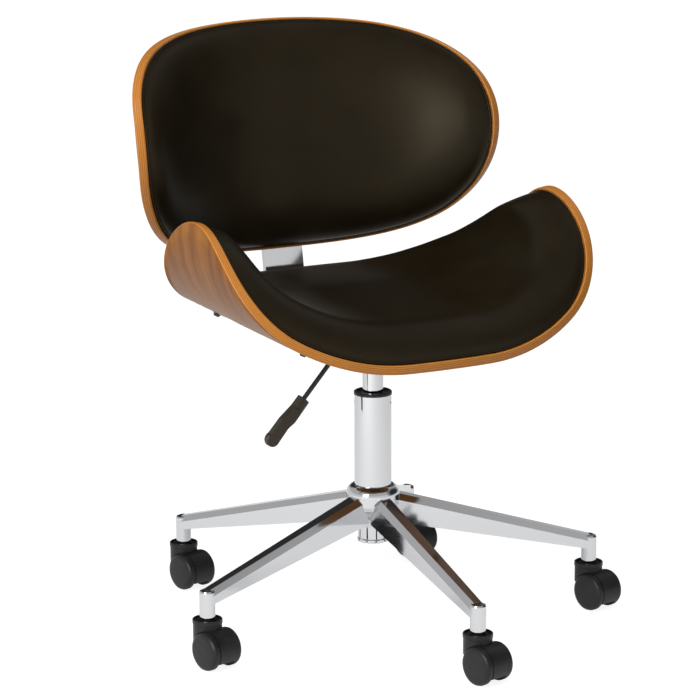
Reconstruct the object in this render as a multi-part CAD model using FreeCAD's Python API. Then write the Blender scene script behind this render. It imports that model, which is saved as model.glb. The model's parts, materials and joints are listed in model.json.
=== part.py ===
import FreeCAD, Part
import math
import os

# Swivel office chair: bent-plywood seat and back on a gas lift and a five-legged base with casters.
# Millimetres, +Z up, the front of the chair to -Y, origin on the floor under the column.

# Heights
SEAT_HEIGHT = 390.0       # underside of the seat sheet over the column
TUBE_TOP = 308.0
HUB_TOP = 184.0
HUB_BOTTOM = 105.0
SOCKET_BOTTOM = 62.0      # underside of the legs' caster sockets

# Base
LEG_COUNT = 5
LEG_START = 50.5          # heading of the first leg from +X, degrees
CASTER_REACH = 298.0      # column axis to caster stem
LEG_ROOT = (22.0, 14.5, 8.0, 133.5, 174.0)          # reach, half width, half of the flat top, underside, top
LEG_TIP = (CASTER_REACH, 10.4, 5.5, 81.5, 100.5)
LEG_BEVEL = 8.0           # height of the bevels beside the flat top
LEG_SKIN = 2.0
SOCKET_RADIUS = 10.4
HUB_NECK = 20.0           # radii of the hub below the legs and at the legs
HUB_RIM = 36.0
HUB_RECESS = 16.0         # depth of the recess for the column's shoulder
HUB_NOTCHES = 10

# Column and gas lift
TUBE_RADIUS = 25.0
TUBE_WALL = 1.6
TUBE_LOW = HUB_BOTTOM + 2.0
SHOULDER = 8.0            # height over which the tube widens from its cone to its full size
CONE_RADII = (14.0, 15.3)
WINDOWS = (158.0, -49.0)  # headings of the guide's two snap windows
WINDOW = (3.0, 9.0)       # their side and depth under the top
SLIT = (-156.0, 2.4, 1.2, 18.0)      # heading, width above and below, length
BUSH_LENGTH = 76.0
BUSH_BAND = 12.0          # length of the lower guiding band; the upper one is twice as long
BUSH_HEAD = 4.0
LIFT_RADIUS = 14.0
LIFT_BORE = 12.0
LIFT_LOW = HUB_TOP + 6.0
LIFT_TOP = SEAT_HEIGHT - 22.0
LIFT_TAPER = LIFT_TOP - 27.0         # above this the pressure tube narrows into its socket
LIFT_TIP = 13.3
VALVE = (26.0, 20.0)      # length of the valve block and depth of its bore
ROD_RADIUS = 5.0
ROD_COLLAR = (9.0, 6.0)
BEARING = (11.0, 5.0)     # radius and height of the thrust bearing
SEAL = 12.0
PISTON_TOP = LIFT_TOP - 60.0
PISTON_LOW = PISTON_TOP - 8.0
FIT = 0.05                # radial room of a shaft in its bore
ROOM = 0.3                # room between faces that move past each other

# Casters
WHEEL_RADIUS = 25.0
WHEEL_WIDTH = 19.2
WHEEL_INNER = 4.8         # inner end of the wheel to the caster's middle plane
WHEEL_DRUM = (20.0, 8.6)  # radius and length of the wheel's inner drum, under the hood
TRAIL = 18.0
CASTER_HEADING = 12.2
HOOD_RADIUS = 25.4
HOOD_HALF = 13.0          # half width of the hood, between the outer discs
HOOD_LOW = 11.0           # its lower end above the floor
HOOD_CAP = 19.5
WEB_HALF = 4.4            # half thickness of the wall that carries the axle
STEM = (5.5, 4.0, 24.0)   # radius in the leg, radius in the hood, length of each
AXLE_RADIUS = 4.0

# Plywood
PLY = 12.0
SHEET_HALF = 300.0        # half length of a bent sheet before it is trimmed
SEAT_PITCH = 2.3          # front edge lower, degrees
SEAT_BEND = [(60.0, None), (151.0, 300.0), (190.0, 135.0)]      # run and radius from the middle out
SEAT_BLANK = [(0, -220), (286, -167), (446, 11), (180, 172), (0, 236)]
BACK_DEPTH = 279.0
BACK_HEIGHT = 621.0
BACK_TILT = 10.4
BACK_BEND = [(32.0, None), (271.0, 284.0), (50.0, 113.0)]
BACK_BLANK = [(0, -160), (264, -158), (378, 7), (244, 141), (0, 168)]

# Pads
PAD_INSET = 3.5
SEAT_PAD = (42.0, 48.0)   # thickness in the middle and at the ends
BACK_PAD = (34.0, 28.0)

# Steelwork under the seat
PLATE = 3.0
PLATE_HALF = (58.0, 95.0)
TONGUE = (34.0, 165.0)
BAR = (60.0, 8.0)         # section of the back bracket
BAR_FOOT = 84.0           # where its foot begins
BAR_RISE = 45.0           # its top end above the middle of the back
BAR_BEND = 14.0
PAN = (48.0, 35.0)        # half sizes of the pan
PAN_LOW = SEAT_HEIGHT - 25.0
SOCKET_LOW = LIFT_TAPER - 2.0
SOCKET_TOP = LIFT_TOP + 1.0
SOCKET_WALL = 5.0
PLATE_BOLTS = [(44, -75), (-44, -75), (44, 58), (-44, 58)]
FOOT_BOLTS = [(18, 105), (-18, 105), (18, 145), (-18, 145)]
BACK_BOLTS = [(18, -95), (-18, -95), (18, 5), (-18, 5)]
SEAT_SCREWS = [(205, 64), (-205, 64), (175, -122), (-175, -122)]
BACK_SCREWS = [(170, 60), (-170, 60), (170, -70), (-170, -70)]
BOLT_RADIUS = 3.0
BOLT_HEAD = (6.0, 4.0)
NUT_FLANGE = (9.0, 1.5)
NUT_BARREL = 5.0
SCREW_HEAD = (5.5, 4.0)
SCREW_RADIUS = 2.5

# Lever
LEVER_PIVOT = (-30.0, SEAT_HEIGHT - 14.0)
LEVER_SLEEVE = (5.5, 24.0)
LEVER_ROD = 3.2
LEVER_BEND = -49.0
LEVER_SLOPE = 48.0
LEVER_RUN = 84.0          # bend to the handle
HANDLE_LENGTH = 78.0
HANDLE_COLLAR = (8.3, 16.0)
HANDLE_HALF = 4.8         # half thickness of the paddle
PIN_RADIUS = 2.5

FAR = 400.0               # longer than any piece, for cutting tools
V = FreeCAD.Vector
ZERO = V(0, 0, 0)
X_AXIS = V(1, 0, 0)
Y_AXIS = V(0, 1, 0)
Z_AXIS = V(0, 0, 1)
SEAT_PLACE = FreeCAD.Placement(V(0, 0, SEAT_HEIGHT), FreeCAD.Rotation(X_AXIS, SEAT_PITCH))
BACK_PLACE = FreeCAD.Placement(V(0, BACK_DEPTH, BACK_HEIGHT), FreeCAD.Rotation(X_AXIS, 90 - BACK_TILT))


def save(name, *shapes):
    """Checks a node's solids and writes them as one file."""
    shape = shapes[0] if len(shapes) == 1 else Part.makeCompound(list(shapes))
    if not shape.isValid() or not shape.Solids:
        raise ValueError("bad solid: " + name)
    shape.exportStep("parts/%s.step" % name)


def placed(shape, placement):
    """Moves a shape from its own frame to the chair's."""
    moved = shape.copy()
    moved.Placement = placement.multiply(moved.Placement)
    return moved


def turned(path):
    """Solid of revolution about Z from (radius, height) points; a pair of points is an arc."""
    edges, here = [], V(path[0][0], 0, path[0][1])
    for step in path[1:] + path[:1]:
        if isinstance(step[0], tuple):
            middle, end = [V(r, 0, z) for r, z in step]
            edges.append(Part.Arc(here, middle, end).toShape())
        else:
            end = V(step[0], 0, step[1])
            edges.append(Part.makeLine(here, end))
        here = end
    return Part.Face(Part.Wire(edges)).revolve(ZERO, Z_AXIS, 360)


def ring(inner, outer, low, high):
    """Plain ring about Z."""
    return turned([(inner, low), (outer, low), (outer, high), (inner, high)])


def block(x0, x1, y0, y1, z0, z1):
    """Box between two corners."""
    return Part.makeBox(x1 - x0, y1 - y0, z1 - z0, V(x0, y0, z0))


def at_heading(shape, degrees):
    """Turns a shape about the column."""
    shape.rotate(ZERO, Z_AXIS, degrees)
    return shape


def rounded(shape, radius, pick):
    """Rounds the edges whose middle point is picked."""
    return shape.makeFillet(radius, [e for e in shape.Edges if pick(e.CenterOfMass)])


# Bent plywood: a flat blank with a smooth outline, wrapped on a chain of arcs

def wrap(bend, s, y, up):
    """Point of the bent sheet: s along the bend from the middle, y across it, up from the outer face."""
    x, z, angle, left = 0.0, 0.0, 0.0, abs(s)
    for run, radius in bend:
        step = min(left, run)
        if radius is None:
            x += step * math.cos(angle)
            z += step * math.sin(angle)
        else:
            turn = step / radius
            x += radius * (math.sin(angle + turn) - math.sin(angle))
            z += radius * (math.cos(angle) - math.cos(angle + turn))
            angle += turn
        left -= step
    return V(math.copysign(x - up * math.sin(angle), s), y, z + up * math.cos(angle))


def bend_stops(bend):
    """Distances along the bend, from end to end, where its radius changes."""
    stops = [0.0]
    for run, radius in bend:
        stops.append(stops[-1] + run)
    return [-s for s in reversed(stops)] + stops[1:]


def arcs(bend, up):
    """The bend at one depth as lines and arcs."""
    edges, stops = [], bend_stops(bend)
    for a, b in zip(stops, stops[1:]):
        start, middle, end = [wrap(bend, s, 0, up) for s in (a, (a + b) / 2, b)]
        straight = abs((middle - start).cross(end - start).y) < 0.001
        edges.append(Part.makeLine(start, end) if straight else Part.Arc(start, middle, end).toShape())
    return edges


def crown(bend, middle, end):
    """The bend as one smooth line whose depth goes from middle to end."""
    reach = bend_stops(bend)[-1]
    line = Part.BSplineCurve()
    shares = [k / 8 for k in range(-8, 9)]
    line.interpolate([wrap(bend, reach * k, 0, middle + (end - middle) * k * k) for k in shares])
    return [line.toShape()]


def blank_curve(half):
    """Closed smooth outline of a flat blank from the control points of its right half."""
    points = half + [(-s, y) for s, y in reversed(half[1:-1])]
    curve = Part.BSplineCurve()
    curve.buildFromPoles([V(s, y, 0) for s, y in points], True, 3)
    return curve


def rim(bend, blank, inset, draw, up, count):
    """The blank's outline, drawn in to the middle by a share, moved in by inset and wrapped at one depth."""
    points = []
    for k in range(count):
        at = blank.FirstParameter + (blank.LastParameter - blank.FirstParameter) * k / count
        point, along = blank.value(at) * (1 - draw), blank.tangent(at)[0]
        points.append(wrap(bend, point.x - inset * along.y, point.y + inset * along.x, up))
    loop = Part.BSplineCurve()
    loop.interpolate(Points=points, PeriodicFlag=True)
    return Part.Wire(loop.toShape())


def bent_piece(bend, blank, low, top, loops, count):
    """Slab between two lines of the bend, trimmed by the band through loops of (inset, draw, depth)."""
    bottom = arcs(bend, low)
    ends = [Part.makeLine(a.Vertexes[k].Point, b.Vertexes[k].Point)
            for a, b, k in ((bottom[0], top[0], 0), (bottom[-1], top[-1], -1))]
    slab = Part.Face(Part.Wire(Part.__sortEdges__(bottom + ends + top)))
    slab.translate(V(0, -SHEET_HALF, 0))
    slab = slab.extrude(V(0, 2 * SHEET_HALF, 0))
    band = Part.makeLoft([rim(bend, blank, *loop, count) for loop in loops], False, True)
    pieces = slab.generalFuse([band])[0].Solids
    middle = V(0, 0, low + 1)
    return [p for p in pieces if p.isInside(middle, 0.001, True)][0]


def bent_shell(bend, blank):
    """Plywood sheet with square edges."""
    return bent_piece(bend, blank, 0, arcs(bend, PLY), [(0, 0, -2), (0, 0, PLY + 2)], 48)


def bent_pad(bend, blank, thick):
    """Upholstered pad with a rolled edge, lying on the sheet."""
    middle, end = thick
    roll = [(0, -2), (0, 0.3 * end), (0.015, 0.65 * end), (0.06, 0.92 * end), (0.2, 1.1 * max(thick))]
    loops = [(PAD_INSET, draw, PLY + up) for draw, up in roll]
    return bent_piece(bend, blank, PLY, crown(bend, PLY + middle, PLY + end), loops, 32)


def sheet_normal(bend, s):
    """Direction from the outer to the inner face at s."""
    return (wrap(bend, s, 0, 1) - wrap(bend, s, 0, 0)).normalize()


def tee_nut(x, y):
    """Flanged nut let into the flat middle of a sheet from its inner face."""
    flange, thick = NUT_FLANGE
    nut = turned([(BOLT_RADIUS, 2), (NUT_BARREL, 2), (NUT_BARREL, PLY - thick), (flange, PLY - thick),
                  (flange, PLY), (BOLT_RADIUS, PLY)])
    nut.translate(V(x, y, 0))
    return nut


def nut_seat(x, y):
    """Hole for a tee nut and its bolt."""
    flange, thick = NUT_FLANGE
    return Part.makeCylinder(NUT_BARREL, PLY, V(x, y, 0)).fuse(
        Part.makeCylinder(flange, thick, V(x, y, PLY - thick)))


def bolt(x, y, grip):
    """Socket-head bolt from below the stack of metal on a sheet up into its tee nut."""
    head, depth = BOLT_HEAD
    end = -grip - depth
    shape = turned([(0, end + 2), (2, end + 2), (2, end), (head - 1, end), (head, end + 1), (head, -grip),
                    (BOLT_RADIUS, -grip), (BOLT_RADIUS, PLY - 1), (0, PLY - 1)])
    shape.translate(V(x, y, 0))
    return shape


def pad_screw(bend, s, y):
    """Button-head screw through the sheet into the pad."""
    radius, high = SCREW_HEAD
    out = sheet_normal(bend, s)
    foot = wrap(bend, s, y, 0)
    head = Part.makeCone(radius, radius - 2, high, foot, out * -1)
    recess = Part.makeCylinder(1.6, 1.6, foot - out * high, out)
    return head.cut(recess).fuse(Part.makeCylinder(SCREW_RADIUS, PLY + 9, foot, out))


# Five-legged base

def leg_section(r, half, flat, low, top, skin):
    """Section of a leg, open below: upright sides, bevels and a flat top."""
    side, rib, crest = half - skin, flat - skin / 2, top - skin
    right = [V(r, rib, crest), V(r, side, crest - LEG_BEVEL), V(r, side, low - skin)]
    left = [V(p.x, -p.y, p.z) for p in reversed(right)]
    return Part.makePolygon(right + left + right[:1])


def hub_outside():
    """Outer form of the hub without its bore."""
    neck, rim, low, top = HUB_NECK, HUB_RIM, HUB_BOTTOM, HUB_TOP
    flare = ((neck + 4, low + 36), (rim - 2, top - 31))
    dome = ((rim - 2.2, top - 5), (TUBE_RADIUS + 2, top))
    return turned([(0, low), (neck + 1, low), (neck + 1, low + 4), (neck, low + 5.5), (neck, low + 22), flare,
                   (rim, top - 26), (rim, top - 12), dome, (0, top)])


def base_hub():
    """Hub with its taper bore, the recess under its dome and the notched ring at the bottom."""
    low, top = CONE_RADII
    floor = HUB_TOP - HUB_RECESS
    bore = Part.makeCone(low, top, floor - TUBE_LOW, V(0, 0, TUBE_LOW))
    entry = Part.makeCylinder(low, TUBE_LOW - HUB_BOTTOM, V(0, 0, HUB_BOTTOM))
    recess = Part.makeCylinder(TUBE_RADIUS + 1.2, HUB_RECESS, V(0, 0, floor))
    hub = hub_outside().cut(bore.fuse([entry, recess]))
    for k in range(HUB_NOTCHES):
        notch = block(HUB_NECK - 2, HUB_NECK + 4, -1.5, 1.5, HUB_BOTTOM - 1, HUB_BOTTOM + 2.5)
        hub = hub.cut(at_heading(notch, 360.0 * k / HUB_NOTCHES))
    return hub


def base_leg(hub):
    """Leg along +X, a channel open below, with the caster socket at its tip."""
    top = LEG_TIP[-1]
    body = Part.makeLoft([leg_section(*LEG_ROOT, 0), leg_section(*LEG_TIP, 0)], True, True)
    hollow = Part.makeLoft([leg_section(*LEG_ROOT, LEG_SKIN), leg_section(*LEG_TIP, LEG_SKIN)], True, True)
    radius, _, length = STEM
    r, low = SOCKET_RADIUS, SOCKET_BOTTOM
    post = turned([(0, low), (r - 0.6, low), (r, low + 0.6), (r, top - 3.5), (r - 1, top - 1.5),
                   (LEG_TIP[2], top), (0, top)])
    bore = Part.makeCylinder(radius, length, V(0, 0, low))
    for shape in (post, bore):
        shape.translate(V(CASTER_REACH, 0, 0))
    return body.cut(hollow).fuse(post).removeSplitter().cut(bore).cut(hub)


# Column and gas lift

def column_tube():
    """Outer tube of the gas lift: cone, shoulder and full size, with the guide's windows and slit."""
    low, top = CONE_RADII
    w, floor = TUBE_WALL, HUB_TOP - HUB_RECESS
    tube = turned([(ROD_RADIUS + FIT, TUBE_LOW), (low, TUBE_LOW), (top, floor), (top, HUB_TOP - SHOULDER),
                   (TUBE_RADIUS, HUB_TOP), (TUBE_RADIUS, TUBE_TOP), (TUBE_RADIUS - w, TUBE_TOP),
                   (TUBE_RADIUS - w, HUB_TOP + 1), (top - w, HUB_TOP - SHOULDER + 1), (top - w, floor),
                   (low - w, TUBE_LOW + 3), (ROD_RADIUS + FIT, TUBE_LOW + 3)])
    side, depth = WINDOW
    top = TUBE_TOP - depth
    for heading in WINDOWS:
        window = block(TUBE_RADIUS - 4, TUBE_RADIUS + 4, -side / 2, side / 2, top - side, top)
        tube = tube.cut(at_heading(window, heading))
    heading, wide, narrow, length = SLIT
    corners = [V(0, y, z) for y, z in ((wide / 2, TUBE_TOP), (narrow / 2, TUBE_TOP - length),
                                       (-narrow / 2, TUBE_TOP - length), (-wide / 2, TUBE_TOP))]
    slit = Part.Face(Part.makePolygon(corners + corners[:1])).extrude(X_AXIS * (TUBE_RADIUS + 4))
    return tube.cut(at_heading(slit, heading))


def column_collar():
    """Moulded ring in the hub's recess, under the column's shoulder."""
    inner, outer = CONE_RADII[1], TUBE_RADIUS + 1
    return turned([(inner, HUB_TOP - HUB_RECESS), (outer, HUB_TOP - HUB_RECESS), (outer, HUB_TOP),
                   (TUBE_RADIUS, HUB_TOP), (inner, HUB_TOP - SHOULDER)])


def guide_bush():
    """Moulded guide of the pressure tube, with two snaps in the column's windows and a cupped head."""
    bore, seat, neck = LIFT_RADIUS + FIT, TUBE_RADIUS - TUBE_WALL, LIFT_RADIUS + 3
    low, head, lip = TUBE_TOP - BUSH_LENGTH, TUBE_TOP + BUSH_HEAD, TUBE_RADIUS + 0.6
    bush = turned([(bore, low), (seat, low), (seat, low + BUSH_BAND), (neck, low + BUSH_BAND + 4),
                   (neck, TUBE_TOP - 2 * BUSH_BAND - 4), (seat, TUBE_TOP - 2 * BUSH_BAND), (seat, TUBE_TOP),
                   (lip, TUBE_TOP), (lip, head - 0.8), (lip - 0.8, head), (lip - 4, head),
                   (lip - 4, head - 1.5), (bore, head - 1.5)])
    side, depth = WINDOW
    half, top = side / 2 - 0.1, TUBE_TOP - depth - 0.1
    for heading in WINDOWS:
        snap = block(seat - 2, TUBE_RADIUS - 0.4, -half, half, top - 2 * half, top)
        bush = bush.fuse(at_heading(snap, heading))
    return bush


def pressure_tube():
    """Steel tube of the gas lift with its tapered top."""
    return turned([(LIFT_BORE, LIFT_LOW), (LIFT_RADIUS - 0.8, LIFT_LOW), (LIFT_RADIUS, LIFT_LOW + 1),
                   (LIFT_RADIUS, LIFT_TAPER), (LIFT_TIP, LIFT_TOP), (LIFT_BORE, LIFT_TOP)])


def valve_block():
    """Closed top of the pressure tube with the blind bore of the release pin."""
    length, depth = VALVE
    pin, top = PIN_RADIUS + FIT, LIFT_TOP
    return turned([(0, top - length), (LIFT_BORE, top - length), (LIFT_BORE, top), (pin, top),
                   (pin, top - depth), (0, top - depth)])


def piston_rod():
    """Rod that hangs in the column's foot, with the collar that rests on the thrust bearing."""
    radius, high = ROD_COLLAR
    seat = TUBE_LOW + 3 + BEARING[1] + ROOM
    rod = Part.makeCylinder(ROD_RADIUS, PISTON_TOP + 4 - TUBE_LOW + 4, V(0, 0, TUBE_LOW - 4))
    return rod.fuse(ring(ROD_RADIUS, radius, seat, seat + high)).removeSplitter()


def piston_head():
    """Piston at the top of the rod, with chamfered ends."""
    skirt, low, top = LIFT_BORE - FIT, PISTON_LOW, PISTON_TOP
    return turned([(ROD_RADIUS, low), (skirt - 1, low), (skirt, low + 1), (skirt, top - 1), (skirt - 1, top),
                   (ROD_RADIUS, top)])


# Casters

def along_x(shape):
    """Lays a turned shape down, its axis from Z to +X."""
    shape.rotate(ZERO, Y_AXIS, 90)
    return shape


def about_axle(radius, x0, x1):
    """Cylinder on the axle's line between two planes of the caster."""
    return Part.makeCylinder(radius, x1 - x0, V(x0, -TRAIL, WHEEL_RADIUS), X_AXIS)


def caster_wheel():
    """Nylon wheel on the +X side: drum under the hood, tread and domed outer face."""
    w, r, bore = WHEEL_WIDTH, WHEEL_RADIUS, AXLE_RADIUS + FIT
    drum, step = WHEEL_DRUM
    wheel = along_x(turned([(bore, 0.8), (drum, 0.8), (drum, step), (r - 0.6, step), (r, step + 0.6),
                            (r, w - 5.2), (r - 0.8, w - 3), (r - 2.8, w - 1.4), (r - 6, w - 0.6), (10, w),
                            (0, w), (0, w - 3.5), (bore, w - 3.5)]))
    wheel.translate(V(WHEEL_INNER, -TRAIL, WHEEL_RADIUS))
    return wheel


def caster_axle():
    """Axle pin with chamfered ends."""
    half, r = WHEEL_INNER + WHEEL_WIDTH - 4, AXLE_RADIUS
    axle = along_x(turned([(0, -half), (r - 0.5, -half), (r, 0.5 - half), (r, half - 0.5), (r - 0.5, half),
                           (0, half)]))
    axle.translate(V(0, -TRAIL, WHEEL_RADIUS))
    return axle


def caster_yoke():
    """Hood between the wheels, its cupped cap under the leg and the wall that carries the axle."""
    top, rim = SOCKET_BOTTOM - ROOM, HOOD_CAP
    hood = about_axle(HOOD_RADIUS, -HOOD_HALF, HOOD_HALF)
    below = block(-FAR, FAR, -FAR, FAR, -FAR, HOOD_LOW)
    front = block(-FAR, FAR, -TRAIL, FAR, -FAR, WHEEL_RADIUS + 5)
    cap = turned([(0, WHEEL_RADIUS + 9), (rim - 0.7, WHEEL_RADIUS + 9), (rim - 0.7, top - 6), (rim, top - 5.3),
                  (rim, top - 0.7), (rim - 0.7, top), (rim - 2, top), (rim - 2, top - 2.5),
                  (SOCKET_RADIUS + 1, top - 2.5), (SOCKET_RADIUS + 1, top), (0, top)])
    yoke = hood.cut([below, front]).fuse(cap)
    drum_well, disc_well = WHEEL_DRUM[0] + 0.6, WHEEL_RADIUS + 0.7
    for x0, x1, well in ((WEB_HALF, FAR, drum_well), (-FAR, -WEB_HALF, drum_well),
                         (HOOD_HALF, FAR, disc_well), (-FAR, -HOOD_HALF, disc_well)):
        yoke = yoke.cut(about_axle(well, x0, x1))
    boss = about_axle(2.5 * AXLE_RADIUS, -WEB_HALF, WEB_HALF)
    _, radius, length = STEM
    stem = Part.makeCylinder(radius + FIT, FAR, V(0, 0, SOCKET_BOTTOM - length - ROOM))
    return yoke.fuse(boss).removeSplitter().cut(stem).cut(about_axle(AXLE_RADIUS, -FAR, FAR))


def caster_stem():
    """Steel stem: pressed in the leg above, bearing of the hood below."""
    thick, thin, length = STEM
    low, step, high = SOCKET_BOTTOM - length, SOCKET_BOTTOM, SOCKET_BOTTOM + length
    return turned([(0, low), (thin - 0.6, low), (thin, low + 0.6), (thin, step), (thick, step),
                   (thick, high - 1), (thick - 1, high), (0, high)])


def at_leg(shape, k, turn):
    """Copy of a caster piece under leg k, turned about its stem."""
    heading = math.radians(LEG_START + 360.0 * k / LEG_COUNT)
    moved = shape.copy()
    moved.rotate(ZERO, Z_AXIS, turn)
    moved.translate(V(CASTER_REACH * math.cos(heading), CASTER_REACH * math.sin(heading), 0))
    return moved


# Steelwork between the lift, the seat and the back

def seat_plate():
    """Stamped plate under the seat sheet with a tongue to the rear."""
    wide, deep = PLATE_HALF
    tongue, rear = TONGUE
    plate = block(-wide, wide, -deep, deep - 15, -PLATE, 0)
    plate = plate.fuse(block(-tongue, tongue, deep - 20, rear, -PLATE, 0)).removeSplitter()
    plate = rounded(plate, 9, lambda c: abs(c.z + PLATE / 2) < 0.01 and abs(c.x) > tongue - 1)
    for x, y in PLATE_BOLTS + FOOT_BOLTS:
        plate = plate.cut(Part.makeCylinder(BOLT_RADIUS, 2 * PLATE, V(x, y, -1.5 * PLATE)))
    return placed(plate, SEAT_PLACE)


def mechanism_pan(plate_top):
    """Folded channel that carries the socket and the lever pin."""
    half, deep = PAN
    pan = block(-half, half, -deep, deep, PAN_LOW, SEAT_HEIGHT + PLATE).cut(
        block(-half, half, PLATE - deep, deep - PLATE, PAN_LOW + PLATE, SEAT_HEIGHT + PLATE))
    pan = rounded(pan, PLATE, lambda c: abs(c.z - PAN_LOW) < 0.01 and abs(abs(c.y) - deep) < 0.01)
    x, z = LEVER_PIVOT
    pan = pan.cut(Part.makeCylinder(PIN_RADIUS, 2 * FAR, V(x, -FAR, z), Y_AXIS))
    return pan.cut(Part.makeCylinder(LIFT_RADIUS + SOCKET_WALL, FAR, V(0, 0, SOCKET_LOW))).cut(plate_top)


def cone_socket():
    """Welded socket that holds the tapered top of the pressure tube."""
    tip = LIFT_RADIUS + (LIFT_TIP - LIFT_RADIUS) * (SOCKET_TOP - LIFT_TAPER) / (LIFT_TOP - LIFT_TAPER)
    outer, low, top = LIFT_RADIUS + SOCKET_WALL, SOCKET_LOW, SOCKET_TOP
    return turned([(LIFT_RADIUS, low), (outer - 1, low), (outer, low + 1), (outer, top), (tip, top),
                   (LIFT_RADIUS, LIFT_TAPER)])


def back_bracket():
    """Flat bar from under the seat plate, bent up behind the seat and along the back."""
    wide, thick = BAR
    under = SEAT_PLACE.multVec(V(0, 0, -PLATE))
    along = SEAT_PLACE.Rotation.multVec(Y_AXIS)
    rise = BACK_PLACE.Rotation.multVec(Y_AXIS)
    down, rear = along.cross(X_AXIS), X_AXIS.cross(rise) * -1
    behind = BACK_PLACE.Base

    def corner(a, b):
        """Where the foot line through a meets the upright line through b."""
        gap = b - a
        return a + along * ((gap.y * rise.z - gap.z * rise.y) / (along.y * rise.z - along.z * rise.y))

    inner = corner(under, behind)
    outer = corner(under + down * thick, behind + rear * thick)
    start, end = under + along * BAR_FOOT, behind + rise * BAR_RISE
    corners = [start, inner, end, end + rear * thick, outer, start + down * thick]
    side = Part.Face(Part.makePolygon(corners + corners[:1]))
    side.translate(X_AXIS * (-wide / 2))
    bar = side.extrude(X_AXIS * wide)
    bar = rounded(bar, BAR_BEND, lambda c: c.distanceToPoint(inner) < 0.1)
    bar = rounded(bar, BAR_BEND + thick, lambda c: c.distanceToPoint(outer) < 0.1)
    ends = [e for e in bar.Edges if abs(e.Length - thick) < 0.01]
    bar = bar.makeFillet(8, ends)
    for x, y in FOOT_BOLTS:
        bar = bar.cut(placed(Part.makeCylinder(BOLT_RADIUS, 3 * thick, V(x, y, -2 * thick)), SEAT_PLACE))
    for x, y in BACK_BOLTS:
        bar = bar.cut(placed(Part.makeCylinder(BOLT_RADIUS, 3 * thick, V(x, y, -2 * thick)), BACK_PLACE))
    return bar


# Height lever

def lever_rod():
    """Bent rod with the pivot sleeve; its inner end lies over the release pin."""
    x, z = LEVER_PIVOT
    radius, length = LEVER_SLEEVE
    slope = math.radians(LEVER_SLOPE)
    down = V(-math.cos(slope), 0, -math.sin(slope))
    bend = V(LEVER_BEND, 0, z)
    flat = Part.makeCylinder(LEVER_ROD, 2 * PIN_RADIUS - LEVER_BEND, bend, X_AXIS)
    knee = Part.makeSphere(LEVER_ROD, bend)
    arm = Part.makeCylinder(LEVER_ROD, LEVER_RUN + HANDLE_COLLAR[1], bend, down)
    sleeve = Part.makeCylinder(radius, length, V(x, -length / 2, z), Y_AXIS)
    hole = Part.makeCylinder(PIN_RADIUS + FIT, length, V(x, -length / 2, z), Y_AXIS)
    return flat.fuse([knee, arm, sleeve]).removeSplitter().cut(hole)


def lever_handle():
    """Moulded paddle on the rod: round collar, then a flat end that widens to one side."""
    radius, collar = HANDLE_COLLAR
    end = HANDLE_LENGTH
    points = [V(a, 0, b) for a, b in (
        (0, radius), (0, -radius), (collar, -radius), (end - 38, -1.4 * radius), (end - 14, -1.4 * radius),
        (end, -0.3 * radius), (end - 12, 0.85 * radius), (end - 34, 0.75 * radius), (end - 46, 1.1 * radius))]
    root, corner, start, crest, shoulder, tip, heel, waist, foot = points
    lines = ((root, corner), (corner, start), (start, crest), (crest, shoulder), (heel, waist), (waist, foot),
             (foot, root))
    edges = [Part.makeLine(a, b) for a, b in lines]
    edges.append(Part.Arc(shoulder, tip, heel).toShape())
    paddle = Part.Face(Part.Wire(Part.__sortEdges__(edges)))
    paddle.translate(V(0, -HANDLE_HALF, 0))
    paddle = paddle.extrude(V(0, 2 * HANDLE_HALF, 0))
    paddle = rounded(paddle, 12, lambda c: abs(c.y) < 0.01 and collar - 1 < c.x < end - 16)
    rims = [e for e in paddle.Edges if abs(abs(e.CenterOfMass.y) - HANDLE_HALF) < 0.01 and e.CenterOfMass.x > 1]
    paddle = paddle.makeChamfer(1.5, rims)
    grip = Part.makeCylinder(radius, collar, ZERO, X_AXIS)
    handle = paddle.fuse(grip).removeSplitter().cut(Part.makeCylinder(LEVER_ROD, collar, ZERO, X_AXIS))
    slope, run = math.radians(LEVER_SLOPE), LEVER_RUN
    handle.rotate(ZERO, Y_AXIS, 180 - LEVER_SLOPE)
    handle.translate(V(LEVER_BEND - run * math.cos(slope), 0, LEVER_PIVOT[1] - run * math.sin(slope)))
    return handle


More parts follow.
